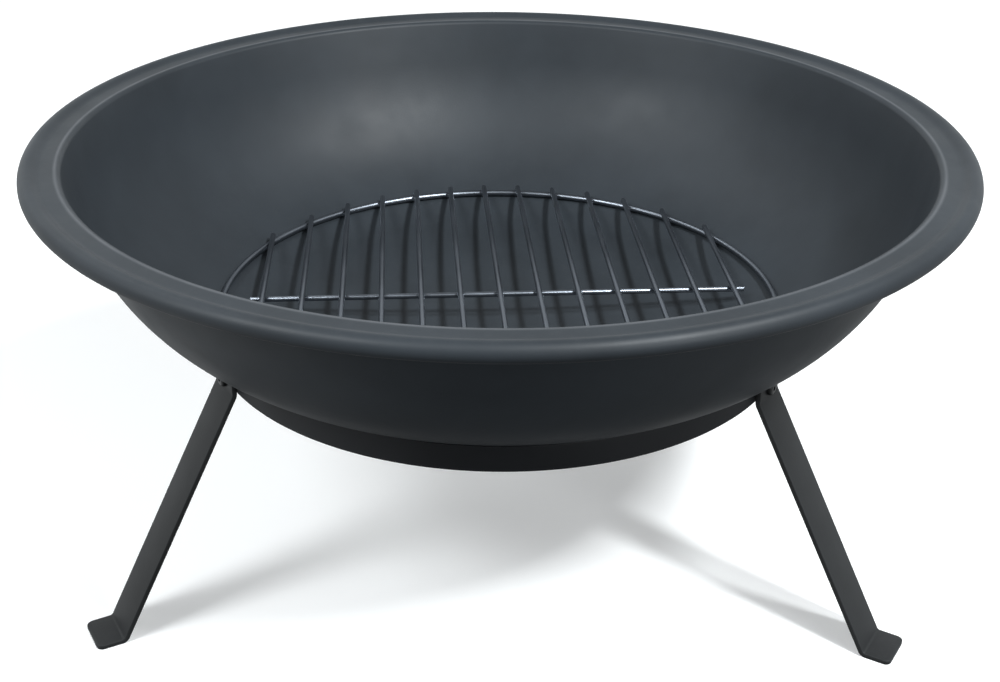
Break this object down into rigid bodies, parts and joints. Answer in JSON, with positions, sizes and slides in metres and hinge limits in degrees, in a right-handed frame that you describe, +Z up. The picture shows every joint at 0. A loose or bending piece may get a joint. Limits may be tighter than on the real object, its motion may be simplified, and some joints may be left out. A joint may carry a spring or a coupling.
{
  "type": "fire pit",
  "caption": "Round open fire pit: pressed steel bowl with a rolled rim, resting in a flat-bar ring on bent legs, with a lift-out round wire grate inside.",
  "frame": {"origin": "on the ground, below the middle of the rim", "axes": "+Z up; +Y from the pit's middle to the rear leg; the other legs stand to the front left and the front right"},
  "size_m": [0.56, 0.56, 0.2765],
  "materials": {
    "bowl_coat": "satin charcoal heat-resistant coat",
    "ring_coat": "satin black coat",
    "leg_coat": "satin black powder coat",
    "bolt_coat": "black oxide",
    "nut_coat": "black oxide",
    "hoop_coat": "satin black coat",
    "bar_coat": "satin black coat"
  },
  "bodies": {
    "stand": {"support_ring": "ring_coat", "leg_front_left": "leg_coat", "leg_front_right": "leg_coat", "leg_rear": "leg_coat", "leg_bolt_front_left": "bolt_coat", "leg_bolt_front_right": "bolt_coat", "leg_bolt_rear": "bolt_coat", "leg_nut_front_left": "nut_coat", "leg_nut_front_right": "nut_coat", "leg_nut_rear": "nut_coat"},
    "bowl": {"bowl": "bowl_coat"},
    "grate": {"grate_ring": "hoop_coat", "grate_bar_01": "bar_coat", "grate_bar_02": "bar_coat", "grate_bar_03": "bar_coat", "grate_bar_04": "bar_coat", "grate_bar_05": "bar_coat", "grate_bar_06": "bar_coat", "grate_bar_07": "bar_coat", "grate_bar_08": "bar_coat", "grate_bar_09": "bar_coat", "grate_bar_10": "bar_coat", "grate_bar_11": "bar_coat", "grate_bar_12": "bar_coat", "grate_bar_13": "bar_coat", "grate_cross_bar": "bar_coat"}
  },
  "joints": [
    {"name": "bowl_lift", "type": "slide", "parent": "stand", "child": "bowl", "axis": [0, 0, 1], "range_m": [0, 0.1]},
    {"name": "grate_lift", "type": "slide", "parent": "bowl", "child": "grate", "axis": [0, 0, 1], "range_m": [0, 0.15]}
  ]
}
